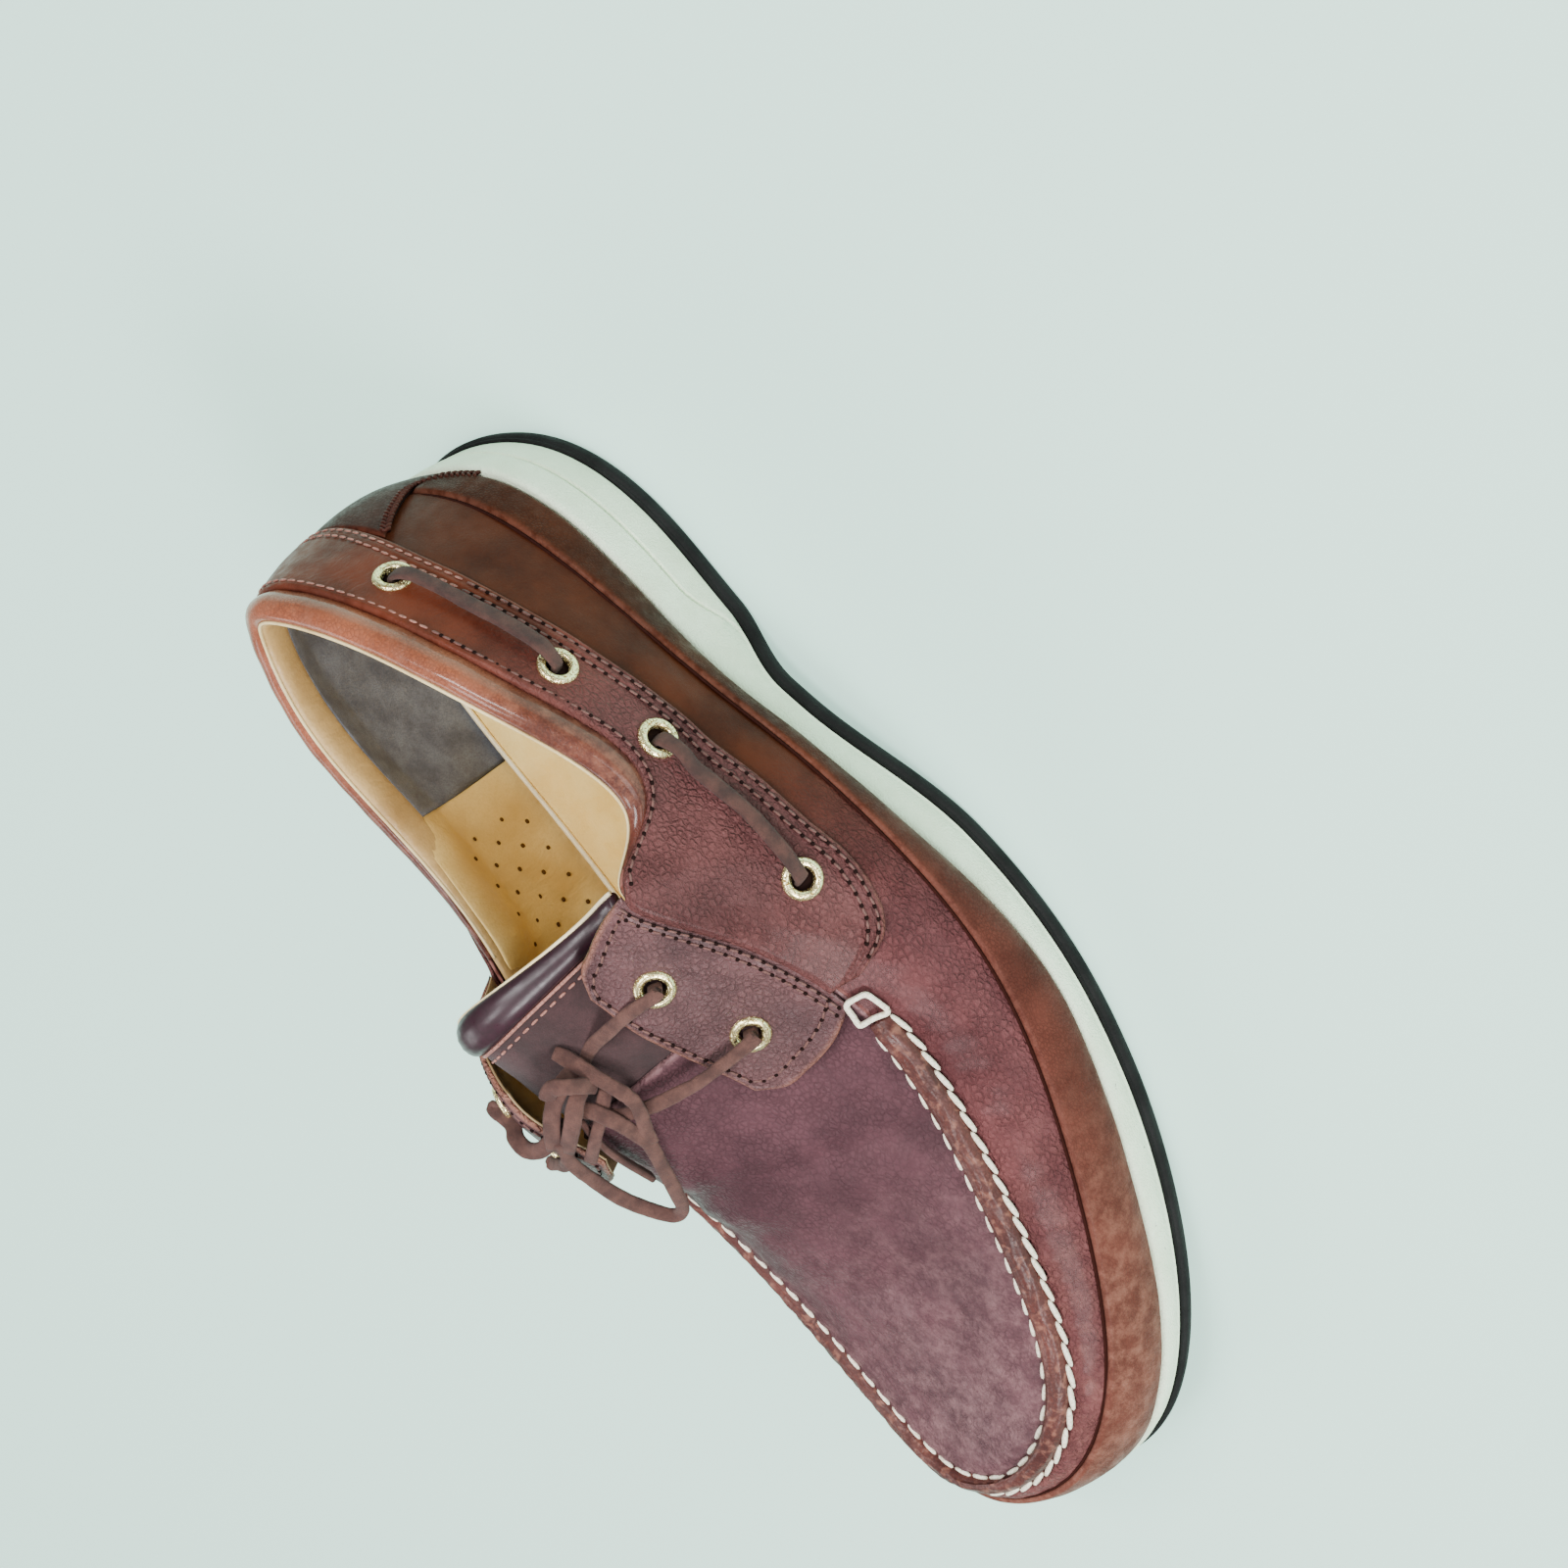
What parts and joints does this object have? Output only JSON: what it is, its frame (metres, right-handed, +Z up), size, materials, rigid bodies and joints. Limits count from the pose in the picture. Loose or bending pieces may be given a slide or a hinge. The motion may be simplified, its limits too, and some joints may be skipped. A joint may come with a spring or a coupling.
{
  "type": "boat shoe",
  "caption": "Men's left boat shoe: brown leather moccasin-toe upper, side lacing through brass eyelets, tied bow, pale midsole and dark tread.",
  "frame": {"origin": "on the floor under the middle of the heel", "axes": "+X to the toe, +Y to the wearer's left, which is the outer side, +Z up"},
  "size_m": [0.2873, 0.119, 0.0948],
  "materials": {
    "dark_rubber": "matte dark grey tread rubber",
    "pale_rubber": "matte ivory moulded rubber with a fine grain",
    "tan_lining": "smooth tan footbed leather",
    "brown_leather": "reddish brown pebble-grain leather",
    "band_leather": "smooth brown leather, worn lighter at the toe",
    "collar_leather": "soft tan-brown padded leather",
    "pale_brass": "pale gold stamped eyelets",
    "rawhide": "dull brown rawhide lace"
  },
  "bodies": {
    "root": {"outsole": "dark_rubber", "midsole": "pale_rubber", "insole": "tan_lining", "upper": "brown_leather", "mudguard_band": "band_leather", "heel_patch": "band_leather", "lace_strip": "brown_leather", "collar": "collar_leather", "eyestay_outer": "brown_leather", "eyestay_inner": "brown_leather", "tongue": "brown_leather", "moc_seam": "brown_leather", "eyelet_side_outer_1": "pale_brass", "eyelet_side_outer_2": "pale_brass", "eyelet_side_outer_3": "pale_brass", "eyelet_side_outer_4": "pale_brass", "eyelet_side_inner_1": "pale_brass", "eyelet_side_inner_2": "pale_brass", "eyelet_side_inner_3": "pale_brass", "eyelet_side_inner_4": "pale_brass", "eyelet_flap_outer_1": "pale_brass", "eyelet_flap_outer_2": "pale_brass", "eyelet_flap_inner_1": "pale_brass", "eyelet_flap_inner_2": "pale_brass", "lace_side_outer_1": "rawhide", "lace_side_outer_2": "rawhide", "lace_side_inner_1": "rawhide", "lace_side_inner_2": "rawhide", "lace_knot": "rawhide", "lace_loop": "rawhide", "lace_end": "rawhide"}
  },
  "joints": []
}
